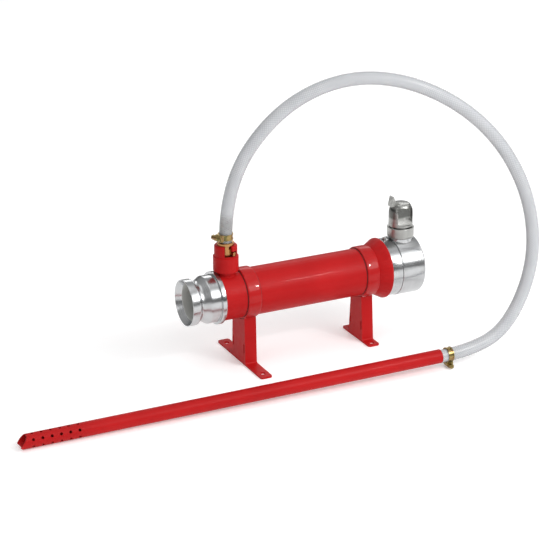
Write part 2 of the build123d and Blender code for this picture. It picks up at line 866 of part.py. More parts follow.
with BuildPart() as hose_tail:
    with BuildSketch(socket_plane):
        with BuildLine():
            Polyline(
                (spigot_bore_radius, tail_bottom),
                (socket_bore_radius, tail_bottom),
                (socket_bore_radius, o_ring_bottom),
                (o_ring_groove_radius, o_ring_bottom),
                (o_ring_groove_radius, o_ring_top),
                (socket_bore_radius, o_ring_top),
                (socket_bore_radius, socket_seat),
                (tail_neck_radius, socket_seat),
                (tail_neck_radius, socket_top),
                (collar_radius, socket_top),
                (collar_radius, hose_start - edge_break),
                (collar_radius - edge_break, hose_start),
                *barbs(hose_start, spigot_bore_radius),
                close=True,
            )
        make_face()
    revolve(axis=socket_axis)
    for turn in (0, 180):
        with BuildPart(mode=Mode.PRIVATE) as bayonet_lug:
            with BuildSketch(Plane.XY.offset(axis_height + lug_floor)):
                with Locations((socket_x, 0)):
                    lug_from = bayonet_lug_angle + turn - bayonet_lug_half_angle
                    lug_to = bayonet_lug_angle + turn + bayonet_lug_half_angle
                    Polygon(*wedge(socket_radius, lug_from, lug_to), align=None)
            extrude(amount=bayonet_lug_height)
            with BuildSketch(Plane.XY.offset(axis_height + lug_floor)):
                with Locations((socket_x, 0)):
                    Circle(bayonet_lug_radius)
                    Circle(tail_neck_radius - 1, mode=Mode.SUBTRACT)
            extrude(amount=bayonet_lug_height, mode=Mode.INTERSECT)
        add(bayonet_lug.part)

with BuildPart() as tail_o_ring:
    with BuildSketch(socket_plane):
        with Locations((socket_bore_radius - o_ring_radius + joint_gap, o_ring_bottom + o_ring_radius)):
            Circle(o_ring_radius - o_ring_fit)
    revolve(axis=socket_axis)

# Non-return valve: seat, ball, spring and the cage that holds them in the neck
seat_bottom = tail_bottom - seat_thickness
cage_bottom = seat_bottom - cage_length
seat_bore = ball_radius - 1
ball_height = seat_bottom - math.sqrt(ball_radius**2 - seat_bore**2)
valve_seat = turned(
    [
        (seat_bore, seat_bottom),
        (port_radius - joint_gap, seat_bottom),
        (port_radius - joint_gap, tail_bottom),
        (seat_bore, tail_bottom),
    ],
    socket_plane,
    socket_axis,
)
with BuildPart() as valve_cage:
    with BuildSketch(Plane.XY.offset(axis_height + cage_bottom)):
        with Locations((socket_x, 0)):
            Circle(port_radius - joint_gap)
    extrude(amount=cage_length)
    with BuildSketch(Plane.XY.offset(axis_height + cage_bottom + cage_wall)):
        with Locations((socket_x, 0)):
            Circle(port_radius - joint_gap - cage_wall)
    extrude(amount=cage_length, mode=Mode.SUBTRACT)
    with BuildSketch(Plane.XY.offset(axis_height + cage_bottom)):
        with Locations((socket_x, 0)):
            with PolarLocations(cage_hole_circle, cage_holes):
                Circle(cage_hole_radius)
    extrude(amount=cage_wall, mode=Mode.SUBTRACT)

with BuildPart() as check_ball:
    with Locations((socket_x, 0, axis_height + ball_height)):
        Sphere(ball_radius)

check_spring_foot = cage_bottom + cage_wall + spring_play + check_spring_wire
check_spring_rise = ball_height - ball_radius - spring_play - check_spring_wire - check_spring_foot
with BuildPart() as check_spring:
    with BuildLine(Plane(origin=(socket_x, 0, axis_height + check_spring_foot))):
        check_coil = Helix(
            pitch=check_spring_rise / check_spring_turns, height=check_spring_rise, radius=check_spring_radius
        )
    with BuildSketch(Plane(origin=check_coil @ 0, x_dir=(1, 0, 0), z_dir=check_coil % 0)):
        Rectangle(2 * check_spring_wire, 2 * check_spring_wire)
    sweep(is_frenet=True)

# Worm-drive hose clamps: one beside the collar, one beside the wand, resting on the floor
band_inner_radius = hose_radius + joint_gap
band_radius = band_inner_radius + band_thickness
ridge_radius = band_radius + band_ridge
worm_axis_radius = ridge_radius + worm_offset - band_ridge
clamp_reach = worm_axis_radius + worm_shell_radius
wand_tilt = math.asin((clamp_reach - wand_radius) / (wand_length - wand_tip_corner + clamp_from_end))
wand_end_z = clamp_reach * math.cos(wand_tilt) - clamp_from_end * math.sin(wand_tilt)
heading = math.radians(wand_heading)
wand_direction = Vector(
    math.cos(wand_tilt) * math.cos(heading), math.cos(wand_tilt) * math.sin(heading), math.sin(wand_tilt)
)
wand_side = Vector(0, 0, 1).cross(wand_direction).normalized()
wand_end = Vector(wand_end_x, wand_end_y, wand_end_z)
wand_plane = Plane(origin=wand_end, x_dir=wand_side, z_dir=wand_direction)
clamp_out = Vector(math.cos(math.radians(inlet_clamp_angle)), math.sin(math.radians(inlet_clamp_angle)), 0)
inlet_clamp_plane = Plane(
    origin=(socket_x, 0, axis_height + hose_start + inlet_clamp_from_end), x_dir=clamp_out, z_dir=(0, 0, 1)
)
wand_clamp_plane = Plane(
    origin=wand_end + wand_direction * clamp_from_end,
    x_dir=wand_side.cross(wand_direction),
    z_dir=wand_direction,
)


def worm_clamp(plane):
    """Band, housing and screw of a clamp. The plane's z runs along the hose, x to the housing."""
    across = Plane(origin=plane.origin, x_dir=plane.x_dir, z_dir=plane.y_dir)
    head_seat = worm_housing_length / 2 + worm_end_play
    with BuildPart() as band:
        with BuildSketch(plane):
            Circle(band_radius)
            Circle(band_inner_radius, mode=Mode.SUBTRACT)
        extrude(amount=band_width / 2, both=True)
        for side in (1, -1):
            with BuildSketch(plane.offset(side * (band_width - band_ridge_width) / 2)):
                Circle(ridge_radius)
                Circle(band_inner_radius, mode=Mode.SUBTRACT)
            extrude(amount=band_ridge_width / 2, both=True)
    with BuildPart() as housing:
        with BuildSketch(across):
            with Locations((worm_axis_radius / 2, 0)):
                Rectangle(worm_axis_radius, worm_housing_width)
            with Locations((worm_axis_radius, 0)):
                Circle(worm_shell_radius)
        extrude(amount=worm_housing_length / 2, both=True)
        with BuildSketch(plane):
            Circle(ridge_radius + joint_gap)
        extrude(amount=worm_housing_width, both=True, mode=Mode.SUBTRACT)
        with BuildSketch(across):
            with Locations((worm_axis_radius, 0)):
                Circle(worm_radius + joint_gap)
        extrude(amount=worm_housing_length / 2, both=True, mode=Mode.SUBTRACT)
    with BuildPart() as screw:
        with BuildSketch(across):
            with Locations((worm_axis_radius, 0)):
                Circle(worm_radius)
        extrude(amount=head_seat, both=True)
        with BuildSketch(across.offset(-head_seat)):
            with Locations((worm_axis_radius, 0)):
                RegularPolygon(radius=worm_head_radius, side_count=6)
        extrude(amount=-worm_head_length)
        with BuildSketch(across.offset(-head_seat - worm_head_length)):
            with Locations((worm_axis_radius, 0)):
                Rectangle(worm_slot_width, 3 * worm_head_radius)
        extrude(amount=worm_slot_depth, mode=Mode.SUBTRACT)
    return band.part, housing.part, screw.part


inlet_clamp_band, inlet_clamp_housing, inlet_clamp_screw = worm_clamp(inlet_clamp_plane)
wand_clamp_band, wand_clamp_housing, wand_clamp_screw = worm_clamp(wand_clamp_plane)

# Suction hose: its route from the hose tail, up and over, and down to the wand
hose_points = [
    (socket_x, 0, axis_height + hose_start),
    (socket_x, 0, axis_height + hose_start + hose_first_run),
    (-2, -7, 347),
    (66, -21, 420),
    (154, -39, 454),
    (247, -60, 444),
    (336, -85, 398),
    (402, -108, 329),
    (440, -130, 240),
    (441, -148, 144),
    (395, -162, 56),
    tuple(wand_end + wand_direction * hose_last_run),
    tuple(wand_end),
]
runs = [(Vector(b) - Vector(a)).length for a, b in zip(hose_points, hose_points[1:])]
turns = []
for a, b, c in zip(hose_points, hose_points[1:], hose_points[2:]):
    turns.append((Vector(b) - Vector(a)).get_angle(Vector(c) - Vector(b)))
radii = []
for before, after, turn in zip(runs, runs[1:], turns):
    radii.append(hose_bend_share * min(before, after) / math.tan(math.radians(turn / 2)))
print("hose bend radii", [round(radius) for radius in radii])
with BuildPart() as suction_hose:
    with BuildLine() as hose_path:
        FilletPolyline(*hose_points, radius=radii)
    with BuildSketch(Plane(origin=hose_points[0], z_dir=(0, 0, 1))):
        Circle(hose_radius)
        Circle(hose_bore_radius, mode=Mode.SUBTRACT)
    sweep(path=hose_path.wires()[0])
hose_length = hose_path.wires()[0].length
hose_section = math.pi * (hose_radius**2 - hose_bore_radius**2)
volume_ratio = suction_hose.part.volume / hose_section / hose_length
print("hose length", round(hose_length, 1), "volume over section times length", round(volume_ratio, 5))

# Barbed spigot in the wand's end
with BuildPart() as wand_spigot:
    with BuildSketch(Plane(origin=wand_end, x_dir=wand_side, z_dir=wand_side.cross(wand_direction))):
        with BuildLine():
            Polyline(
                (spigot_bore_radius, -wand_spigot_insert),
                (wand_radius - wand_wall - joint_gap, -wand_spigot_insert),
                (wand_radius - wand_wall - joint_gap, 0),
                *barbs(0, spigot_bore_radius),
                close=True,
            )
        make_face()
    revolve(axis=Axis(tuple(wand_end), tuple(wand_direction)))

# Pick-up wand: a tube with a slanted open tip and a strainer of drilled holes
wand_upright = Plane(origin=wand_end, x_dir=wand_direction, z_dir=wand_side * -1)
with BuildPart() as pickup_wand:
    with BuildSketch(wand_plane):
        Circle(wand_radius)
        Circle(wand_radius - wand_wall, mode=Mode.SUBTRACT)
    extrude(amount=-wand_length)
    with BuildSketch(wand_upright):
        with BuildLine():
            Polyline(
                (-wand_length - 1, wand_radius + 1),
                (-wand_length + wand_tip_cut, wand_radius + 1),
                (-wand_length, -wand_radius + wand_tip_corner),
                (-wand_length + wand_tip_corner, -wand_radius),
                (-wand_length + wand_tip_corner, -wand_radius - 1),
                (-wand_length - 1, -wand_radius - 1),
                close=True,
            )
        make_face()
    extrude(amount=wand_radius + 1, both=True, mode=Mode.SUBTRACT)
    for drill in range(strainer_drills):
        angle = math.radians(strainer_row_angle + drill * 180 / strainer_drills)
        across_wand = wand_side * math.cos(angle) + wand_side.cross(wand_direction) * -math.sin(angle)
        for hole in range(strainer_holes):
            along = wand_direction * (strainer_first + hole * strainer_pitch - wand_length)
            with Locations(Plane(origin=wand_end + along, x_dir=wand_direction, z_dir=across_wand).location):
                Cylinder(strainer_hole_radius, 2 * wand_radius + 2, mode=Mode.SUBTRACT)

# Every piece under the name it is written by
pieces = {
    "body_tube": body_tube.part,
    "male_inlet_adapter": male_inlet_adapter.part,
    "nozzle_gasket": nozzle_gasket,
    "inlet_nozzle": inlet_nozzle.part,
    "nozzle_retaining_ring": nozzle_retaining_ring,
    "diffuser": diffuser,
    "inlet_strap_band": inlet_strap_band,
    "outlet_strap_band": outlet_strap_band,
    "inlet_leg": inlet_leg,
    "outlet_leg": outlet_leg,
    "outlet_cone": outlet_cone,
    "coupling_tail": coupling_tail.part,
    "coupling_seal": coupling_seal,
    "coupling_body": coupling_body.part,
    "locking_screw": locking_screw.part,
    "lug_housing": lug_housing.part,
    "lug_plunger": lug_plunger.part,
    "lug_spring": lug_spring.part,
    "release_knob": release_knob.part,
    "knob_pin": knob_pin.part,
    "foam_inlet_socket": foam_inlet_socket.part,
    "hose_tail": hose_tail.part,
    "tail_o_ring": tail_o_ring.part,
    "valve_seat": valve_seat,
    "valve_cage": valve_cage.part,
    "check_ball": check_ball.part,
    "check_spring": check_spring.part,
    "inlet_clamp_band": inlet_clamp_band,
    "inlet_clamp_housing": inlet_clamp_housing,
    "inlet_clamp_screw": inlet_clamp_screw,
    "wand_clamp_band": wand_clamp_band,
    "wand_clamp_housing": wand_clamp_housing,
    "wand_clamp_screw": wand_clamp_screw,
    "suction_hose": suction_hose.part,
    "wand_spigot": wand_spigot.part,
    "pickup_wand": pickup_wand.part,
}
for name, part in pieces.items():
    part.label = name
    export_step(part, f"parts/{name}.step")
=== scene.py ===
import math
import bmesh
import bpy
import numpy as np
from mathutils import Matrix, Vector


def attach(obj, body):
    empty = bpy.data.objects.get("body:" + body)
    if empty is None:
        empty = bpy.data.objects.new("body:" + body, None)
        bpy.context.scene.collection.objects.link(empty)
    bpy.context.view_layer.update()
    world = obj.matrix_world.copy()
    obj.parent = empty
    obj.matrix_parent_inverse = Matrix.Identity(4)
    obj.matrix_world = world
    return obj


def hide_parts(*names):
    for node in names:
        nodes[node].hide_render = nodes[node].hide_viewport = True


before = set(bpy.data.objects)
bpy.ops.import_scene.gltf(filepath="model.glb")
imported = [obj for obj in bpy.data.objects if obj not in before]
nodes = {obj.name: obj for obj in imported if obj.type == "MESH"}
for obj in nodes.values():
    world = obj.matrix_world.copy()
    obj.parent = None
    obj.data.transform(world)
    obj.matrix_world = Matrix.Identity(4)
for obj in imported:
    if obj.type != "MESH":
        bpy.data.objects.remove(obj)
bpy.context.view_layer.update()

world = bpy.context.scene.world or bpy.data.worlds.new("world")
bpy.context.scene.world = world
axisHeight = 0.115  # the waterway's axis above the floor
socketX = -0.0308  # the foam socket's axis
lugX = 0.2795  # the release lug's axis


# Camera, at the photograph's place

cameraSettings = {
    "place": (-1.1716, -2.5010, 1.2323),
    "right": (0.8968, -0.4424, 0.0006),
    "up": (0.1627, 0.3313, 0.9294),
    "focalPixels": 1901.4,  # for a frame 560 pixels wide
    "framePixels": 560,
    "sensor": 36.0,
}


def makeCamera(c):
    data = bpy.data.cameras.new("camera")
    data.sensor_width = c["sensor"]
    data.lens = c["sensor"] * c["focalPixels"] / c["framePixels"]
    data.clip_start, data.clip_end = 0.05, 300
    camera = bpy.data.objects.new("camera", data)
    bpy.context.scene.collection.objects.link(camera)
    right, up = Vector(c["right"]).normalized(), Vector(c["up"]).normalized()
    turn = Matrix((right, up, right.cross(up))).transposed().to_4x4()  # columns: right, up, back
    camera.matrix_world = Matrix.Translation(c["place"]) @ turn
    bpy.context.scene.camera = camera


makeCamera(cameraSettings)
print("camera set")


# Material tools

def newMaterial(name, color, roughness, metallic=0.0, **sockets):
    mat = bpy.data.materials.new(name)
    mat.use_nodes = True
    shader = mat.node_tree.nodes["Principled BSDF"]
    shader.inputs["Base Color"].default_value = (*color, 1)
    shader.inputs["Roughness"].default_value = roughness
    shader.inputs["Metallic"].default_value = metallic
    for key, value in sockets.items():
        shader.inputs[key.replace("_", " ")].default_value = value
    mat.diffuse_color = (*color, 1)
    return mat, shader


def addNode(mat, kind, inputs=(), **settings):
    # a socket value that is itself a socket is linked, anything else is set
    node = mat.node_tree.nodes.new("ShaderNode" + kind)
    for key, value in settings.items():
        setattr(node, key, value)
    for key, value in dict(inputs).items():
        if isinstance(value, bpy.types.NodeSocket):
            mat.node_tree.links.new(value, node.inputs[key])
        else:
            node.inputs[key].default_value = value
    return node


def mathNode(mat, operation, a, b=0.0, c=0.0, clamp=False):
    return addNode(mat, "Math", {0: a, 1: b, 2: c}, operation=operation, use_clamp=clamp).outputs[0]


def noiseNode(mat, vector, scale, detail=3.0, roughness=0.5):
    return addNode(mat, "TexNoise", {"Vector": vector, "Scale": scale, "Detail": detail,
                                     "Roughness": roughness}).outputs["Fac"]


def rampNode(mat, factor, low, high, start=0.0, end=1.0):
    # straight ramp between two values or two colours
    node = addNode(mat, "ValToRGB", {"Fac": factor})
    first, last = node.color_ramp.elements
    first.position, last.position = start, end
    first.color = (low, low, low, 1) if np.isscalar(low) else (*low, 1)
    last.color = (high, high, high, 1) if np.isscalar(high) else (*high, 1)
    return node.outputs["Color"]


def bumpChain(mat, shader, *layers):
    # each layer is a height socket and its depth in metres
    normal = None
    for height, depth in layers:
        inputs = {"Height": height, "Strength": 1.0, "Distance": depth}
        if normal is not None:
            inputs["Normal"] = normal
        normal = addNode(mat, "Bump", inputs).outputs["Normal"]
    mat.node_tree.links.new(normal, shader.inputs["Normal"])


def objectPoint(mat):
    return addNode(mat, "TexCoord").outputs["Object"]


# Finishes

enamel = {
    "light": (0.49, 0.0085, 0.0095), "deep": (0.41, 0.0060, 0.0070),
    "roughness": (0.42, 0.55), "peelScale": 420.0, "peelDepth": 0.00002,
    "runScale": 38.0, "runDepth": 0.00010,
}


def makeEnamel(name, e, coat=0.02):
    mat, shader = newMaterial(name, e["light"], 0.27, Specular_IOR_Level=0.13, Coat_Weight=coat, Coat_Roughness=0.05)
    point = objectPoint(mat)
    patch = noiseNode(mat, point, 14.0, 4.0)
    links = mat.node_tree.links
    links.new(rampNode(mat, patch, e["deep"], e["light"], 0.3, 0.7), shader.inputs["Base Color"])
    links.new(rampNode(mat, noiseNode(mat, point, 90.0, 5.0), *e["roughness"], 0.3, 0.75), shader.inputs["Roughness"])
    bumpChain(mat, shader, (noiseNode(mat, point, e["runScale"], 2.0), e["runDepth"]),
              (noiseNode(mat, point, e["peelScale"], 2.0), e["peelDepth"]))
    return mat


def turnedHeight(mat, centre, axis, pitch):
    # tool marks of a lathe: noise along (distance along the axis + distance from it), so a
    # cylinder gets rings side by side and a face gets rings inside each other
    shifted = addNode(mat, "Mapping", {"Vector": objectPoint(mat), "Location": tuple(-value for value in centre)})
    parts = addNode(mat, "SeparateXYZ", {"Vector": shifted.outputs[0]}).outputs
    along = parts[axis]
    across = [parts[name] for name in "XYZ" if name != axis]
    squares = mathNode(mat, "ADD", mathNode(mat, "MULTIPLY", across[0], across[0]),
                       mathNode(mat, "MULTIPLY", across[1], across[1]))
    path = mathNode(mat, "ADD", mathNode(mat, "MULTIPLY", along, 0.93), mathNode(mat, "SQRT", squares))
    return addNode(mat, "TexNoise", {"W": path, "Scale": 1 / pitch, "Detail": 4.0, "Roughness": 0.65},
                   noise_dimensions="1D").outputs["Fac"]


turned = {
    "aluminium": {"color": (0.52, 0.528, 0.535), "dull": (0.40, 0.406, 0.412), "roughness": (0.16, 0.28)},
    "castAluminium": {"color": (0.40, 0.40, 0.385), "dull": (0.26, 0.262, 0.25), "roughness": (0.24, 0.42)},
    "brass": {"color": (0.42, 0.22, 0.085), "dull": (0.20, 0.10, 0.045), "roughness": (0.16, 0.36)},
    "stainless": {"color": (0.42, 0.41, 0.40), "dull": (0.27, 0.265, 0.26), "roughness": (0.22, 0.42)},
}


def makeTurned(name, finish, centre, axis, pitch=0.0016, depth=0.000009):
    f = turned[finish]
    mat, shader = newMaterial(name, f["color"], 0.25, 1.0)
    marks = turnedHeight(mat, centre, axis, pitch)
    stain = noiseNode(mat, objectPoint(mat), 30.0, 3.0, 0.5)
    links = mat.node_tree.links
    mix = mathNode(mat, "MULTIPLY_ADD", marks, 0.35, mathNode(mat, "MULTIPLY", stain, 0.65))
    links.new(rampNode(mat, mix, f["dull"], f["color"], 0.22, 0.50), shader.inputs["Base Color"])
    links.new(rampNode(mat, mix, f["roughness"][1], f["roughness"][0], 0.35, 0.65), shader.inputs["Roughness"])
    scratch = noiseNode(mat, objectPoint(mat), 900.0, 2.0)
    bumpChain(mat, shader, (marks, depth), (scratch, depth * 0.12))
    return mat


def dullBoreAndPaintedShade(mat, b):
    # inside the given radius about the tube's axis the metal is a rough matt grey, with painted shade: lighter at the
    # mouth and darker deeper into the bore
    shader = mat.node_tree.nodes["Principled BSDF"]
    bright = shader.inputs["Base Color"].links[0].from_socket
    parts = addNode(mat, "SeparateXYZ", {"Vector": objectPoint(mat)}).outputs
    up = mathNode(mat, "SUBTRACT", parts["Z"], axisHeight)
    squares = mathNode(mat, "MULTIPLY_ADD", up, up, mathNode(mat, "MULTIPLY", parts["Y"], parts["Y"]))
    share = addNode(mat, "MapRange", {"Value": mathNode(mat, "SQRT", squares), 1: b["radius"], 2: b["radius"] + 0.0002})
    # painted shade: the grey darkens from the mouth inwards along the axis
    deep = addNode(mat, "MapRange", {"Value": parts["X"], 1: b["run"][0], 2: b["run"][1]}).outputs[0]
    boreGreyWithPaintedShade = rampNode(mat, deep, b["color"], b["deep"])
    mix = addNode(mat, "MixRGB", {"Fac": share.outputs[0], "Color1": boreGreyWithPaintedShade, "Color2": bright})
    mat.node_tree.links.new(mix.outputs[0], shader.inputs["Base Color"])
    mat.node_tree.links.new(share.outputs[0], shader.inputs["Metallic"])
    return mat


def makeCast(name, finish, grain=420.0, depth=0.00006):
    # a cast or stamped surface, tumbled smooth: fine grain with broad soft dents
    f = turned[finish]
    mat, shader = newMaterial(name, f["color"], 0.3, 1.0)
    point = objectPoint(mat)
    fine = noiseNode(mat, point, grain, 4.0, 0.6)
    broad = noiseNode(mat, point, 120.0, 3.0)
    links = mat.node_tree.links
    mix = mathNode(mat, "MULTIPLY_ADD", fine, 0.4, mathNode(mat, "MULTIPLY", broad, 0.6))
    links.new(rampNode(mat, mix, f["dull"], f["color"], 0.35, 0.6), shader.inputs["Base Color"])
    links.new(rampNode(mat, mix, f["roughness"][1], f["roughness"][0], 0.35, 0.65), shader.inputs["Roughness"])
    bumpChain(mat, shader, (broad, depth * 2), (fine, depth))
    return mat


def makeKnob(name, finish, k):
    # the cast finish with painted shade in the finger pockets: the share of plain colour
    # grows with the distance from the knob's middle plane, and below and above the pockets
    mat = makeCast(name, finish)
    shader = mat.node_tree.nodes["Principled BSDF"]
    plain = shader.inputs["Base Color"].links[0].from_socket
    parts = addNode(mat, "SeparateXYZ", {"Vector": objectPoint(mat)}).outputs
    outward = mathNode(mat, "ABSOLUTE", parts["Y"])
    share = addNode(mat, "MapRange", {"Value": outward, 1: k["plane"][0], 2: k["plane"][1]}).outputs[0]
    above = addNode(mat, "MapRange", {"Value": parts["Z"], 1: k["top"][0], 2: k["top"][1]}).outputs[0]
    below = addNode(mat, "MapRange", {"Value": parts["Z"], 1: k["foot"][1], 2: k["foot"][0]}).outputs[0]
    share = mathNode(mat, "MAXIMUM", share, mathNode(mat, "MAXIMUM", above, below))
    mix = addNode(mat, "MixRGB", {"Fac": share, "Color1": (*k["shade"], 1), "Color2": plain})
    mat.node_tree.links.new(mix.outputs[0], shader.inputs["Base Color"])
    return mat


# painted shade in the finger pockets: its dark colour and the band it fills
knobPaintedShade = {"plane": (0.0090, 0.0150), "top": (0.2125, 0.2150), "foot": (0.1955, 0.1990), "shade": (0.13, 0.132, 0.125)}


def makeZinc(name):
    # yellow passivated zinc: gold with faint green and pink patches
    mat, shader = newMaterial(name, (0.30, 0.21, 0.09), 0.26, 1.0)
    point = objectPoint(mat)
    patch = noiseNode(mat, point, 160.0, 3.0)
    ramp = addNode(mat, "ValToRGB", {"Fac": patch})
    stops = ramp.color_ramp.elements
    stops[0].position, stops[0].color = 0.32, (0.17, 0.15, 0.06, 1)
    stops[1].position, stops[1].color = 0.70, (0.27, 0.15, 0.075, 1)
    middle = stops.new(0.5)
    middle.color = (0.38, 0.27, 0.10, 1)
    mat.node_tree.links.new(ramp.outputs["Color"], shader.inputs["Base Color"])
    mat.node_tree.links.new(rampNode(mat, noiseNode(mat, point, 500.0, 4.0), 0.18, 0.40, 0.3, 0.7),
                            shader.inputs["Roughness"])
    bumpChain(mat, shader, (noiseNode(mat, point, 700.0, 3.0), 0.00003))
    return mat


def makePlain(name, color, roughness, grain, depth, **sockets):
    mat, shader = newMaterial(name, color, roughness, **sockets)
    point = objectPoint(mat)
    dark = tuple(value * 0.72 for value in color)
    mat.node_tree.links.new(rampNode(mat, noiseNode(mat, point, grain / 6, 4.0), dark, color, 0.3, 0.7),
                            shader.inputs["Base Color"])
    bumpChain(mat, shader, (noiseNode(mat, point, grain, 3.0), depth))
    return mat


def makeClear(name, c):
    # clear plasticised vinyl: a milky see-through wall with a wet gloss and painted shade towards its edges
    mat, shader = newMaterial(name, (0.80, 0.82, 0.84), 0.2, Alpha=0.42, IOR=1.45, Coat_Weight=0.2,
                              Coat_Roughness=0.08)
    point = objectPoint(mat)
    wall = rampNode(mat, noiseNode(mat, point, 60.0, 4.0), (0.82, 0.84, 0.87), (0.90, 0.91, 0.93), 0.3, 0.7)
    # painted shade: the wall's colour turns dark grey where the wall is seen edge-on
    facing = addNode(mat, "LayerWeight", {"Blend": 0.5}).outputs["Facing"]
    edge = addNode(mat, "MapRange", {"Value": facing, 1: 0.35, 2: 0.9}).outputs[0]
    mix = addNode(mat, "MixRGB", {"Fac": edge, "Color1": wall, "Color2": (0.26, 0.27, 0.285, 1)})
    # the braid's shadow in the wall: two families of lines wound both ways over the hose's own UV
    uv = addNode(mat, "SeparateXYZ", {"Vector": addNode(mat, "TexCoord").outputs["UV"]}).outputs
    around = mathNode(mat, "MULTIPLY", uv["X"], c["around"])
    lines = None
    for sense in (1, -1):
        place = mathNode(mat, "MULTIPLY_ADD", uv["Y"], sense * c["along"], around)
        height = mathNode(mat, "PINGPONG", place, 0.5)
        lines = height if lines is None else mathNode(mat, "MINIMUM", lines, height)
    far = addNode(mat, "VectorMath", {0: point, 1: c["mouth"]}, operation="DISTANCE").outputs["Value"]
    strength = addNode(mat, "MapRange", {"Value": far, 1: c["reach"][0], 2: c["reach"][1], 3: 1.0, 4: c["faint"]}).outputs[0]
    share = addNode(mat, "MapRange", {"Value": lines, 1: 0.22, 2: 0.10}).outputs[0]
    mesh = addNode(mat, "MixRGB", {"Fac": mathNode(mat, "MULTIPLY", share, strength), "Color1": mix.outputs[0],
                                   "Color2": (*c["line"], 1)})
    mat.node_tree.links.new(mesh.outputs[0], shader.inputs["Base Color"])
    mat.node_tree.links.new(rampNode(mat, noiseNode(mat, point, 140.0, 3.0), 0.14, 0.30), shader.inputs["Roughness"])
    bumpChain(mat, shader, (noiseNode(mat, point, 220.0, 3.0), 0.00006))
    return mat


def makeYarn(name, y):
    # pale yarn with painted shade where the tail's end stands inside the hose
    mat = makePlain(name, y["color"], 0.6, 2500.0, 0.00004, Sheen_Weight=0.3)
    shader = mat.node_tree.nodes["Principled BSDF"]
    pale = shader.inputs["Base Color"].links[0].from_socket
    far = addNode(mat, "VectorMath", {0: objectPoint(mat), 1: y["mouth"]}, operation="DISTANCE").outputs["Value"]
    share = addNode(mat, "MapRange", {"Value": far, 1: y["reach"][0], 2: y["reach"][1]}).outputs[0]
    mix = addNode(mat, "MixRGB", {"Fac": share, "Color1": (*y["tailShade"], 1), "Color2": pale})
    mat.node_tree.links.new(mix.outputs[0], shader.inputs["Base Color"])
    return mat


tailMouth = (socketX, 0, 0.222)
wallLook = {"around": 16.0, "along": 260.0, "mouth": tailMouth, "reach": (0.020, 0.034), "faint": 0.20,
            "line": (0.03, 0.035, 0.033)}
# painted shade on the yarn near the tail's mouth
yarnLook = {"color": (0.78, 0.80, 0.83), "tailShade": (0.66, 0.67, 0.67), "mouth": tailMouth, "reach": (0.020, 0.034)}
tubeCentre = (0, 0, axisHeight)
redEnamel = makeEnamel("redEnamel", enamel)
# painted shadow: near-black red for the lines beside the straps
shadowLinePaint = makePlain("shadowLinePaint", (0.075, 0.006, 0.006), 0.6, 300.0, 0.00002)
strapEnamel = makeEnamel("strapEnamel", enamel, 0.28)
bodyAluminium = makeTurned("bodyAluminium", "aluminium", tubeCentre, "X")
# the adapter's bore: rough matt grey with painted shade, lighter at the mouth and darker deeper in
adapterAluminium = dullBoreAndPaintedShade(makeTurned("adapterAluminium", "aluminium", tubeCentre, "X"),
                            {"radius": 0.0297, "run": (-0.094, -0.062), "color": (0.60, 0.605, 0.58),
                             "deep": (0.34, 0.345, 0.33)})
lugAluminium = makeTurned("lugAluminium", "castAluminium", (lugX, 0, 0), "Z", 0.0012)
knobAluminium = makeKnob("knobAluminium", "castAluminium", knobPaintedShade)
socketBrass = makeTurned("socketBrass", "brass", (socketX, 0, 0), "Z", 0.0009)
wandBrass = makeCast("wandBrass", "brass")
nozzleDark = makePlain("nozzleDark", (0.74, 0.745, 0.72), 0.42, 300.0, 0.00002)
pinSteel = makeCast("pinSteel", "stainless")
lugSteel = makeTurned("lugSteel", "stainless", (lugX, 0, 0), "Z", 0.0008)
yellowZinc = makeZinc("yellowZinc")
clearVinyl = makeClear("clearVinyl", wallLook)
braidYarn = makeYarn("braidYarn", yarnLook)
blackRubber = makePlain("blackRubber", (0.02, 0.02, 0.021), 0.55, 900.0, 0.00003)
whiteBall = makePlain("whiteBall", (0.85, 0.85, 0.83), 0.25, 600.0, 0.00002)
print("materials made")


# Mesh tools

def gridMesh(name, points, uv, closedAround, closedAlong, material, slotName, body="root"):
    # points is an array rows x columns x 3; rows run along the profile, columns run round
    rows, columns = points.shape[:2]
    rowEnd = rows if closedAlong else rows - 1
    columnEnd = columns if closedAround else columns - 1
    r, c = np.meshgrid(np.arange(rowEnd), np.arange(columnEnd), indexing="ij")
    rNext, cNext = (r + 1) % rows, (c + 1) % columns
    corners = np.stack([r * columns + c, r * columns + cNext, rNext * columns + cNext, rNext * columns + c], -1)
    mesh = bpy.data.meshes.new(name)
    mesh.vertices.add(rows * columns)
    mesh.vertices.foreach_set("co", points.reshape(-1).astype(np.float32))
    faces = corners.reshape(-1, 4)
    mesh.loops.add(faces.size)
    mesh.loops.foreach_set("vertex_index", faces.reshape(-1).astype(np.int32))
    mesh.polygons.add(len(faces))
    mesh.polygons.foreach_set("loop_start", np.arange(0, faces.size, 4, dtype=np.int32))
    mesh.polygons.foreach_set("loop_total", np.full(len(faces), 4, dtype=np.int32))
    layer = mesh.uv_layers.new(name="UVMap")
    around = np.stack([c, c + 1, c + 1, c], -1) / columnEnd * uv[0]
    along = np.stack([r, r, r + 1, r + 1], -1) / rowEnd * uv[1]
    layer.data.foreach_set("uv", np.stack([around, along], -1).reshape(-1).astype(np.float32))
    mesh.update(calc_edges=True)
    mesh.validate()
    return place(name, mesh, material, slotName, body)


def place(name, mesh, material, slotName, body="root", sharp=None):
    work = bmesh.new()
    work.from_mesh(mesh)
    bmesh.ops.recalc_face_normals(work, faces=work.faces)
    work.to_mesh(mesh)
    work.free()
    mesh.shade_smooth()
    if sharp is not None:
        mesh.set_sharp_from_angle(angle=math.radians(sharp))
    piece = bpy.data.objects.new(name, mesh)
    bpy.context.scene.collection.objects.link(piece)
    piece.data.materials.append(material)
    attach(piece, body)
    return piece


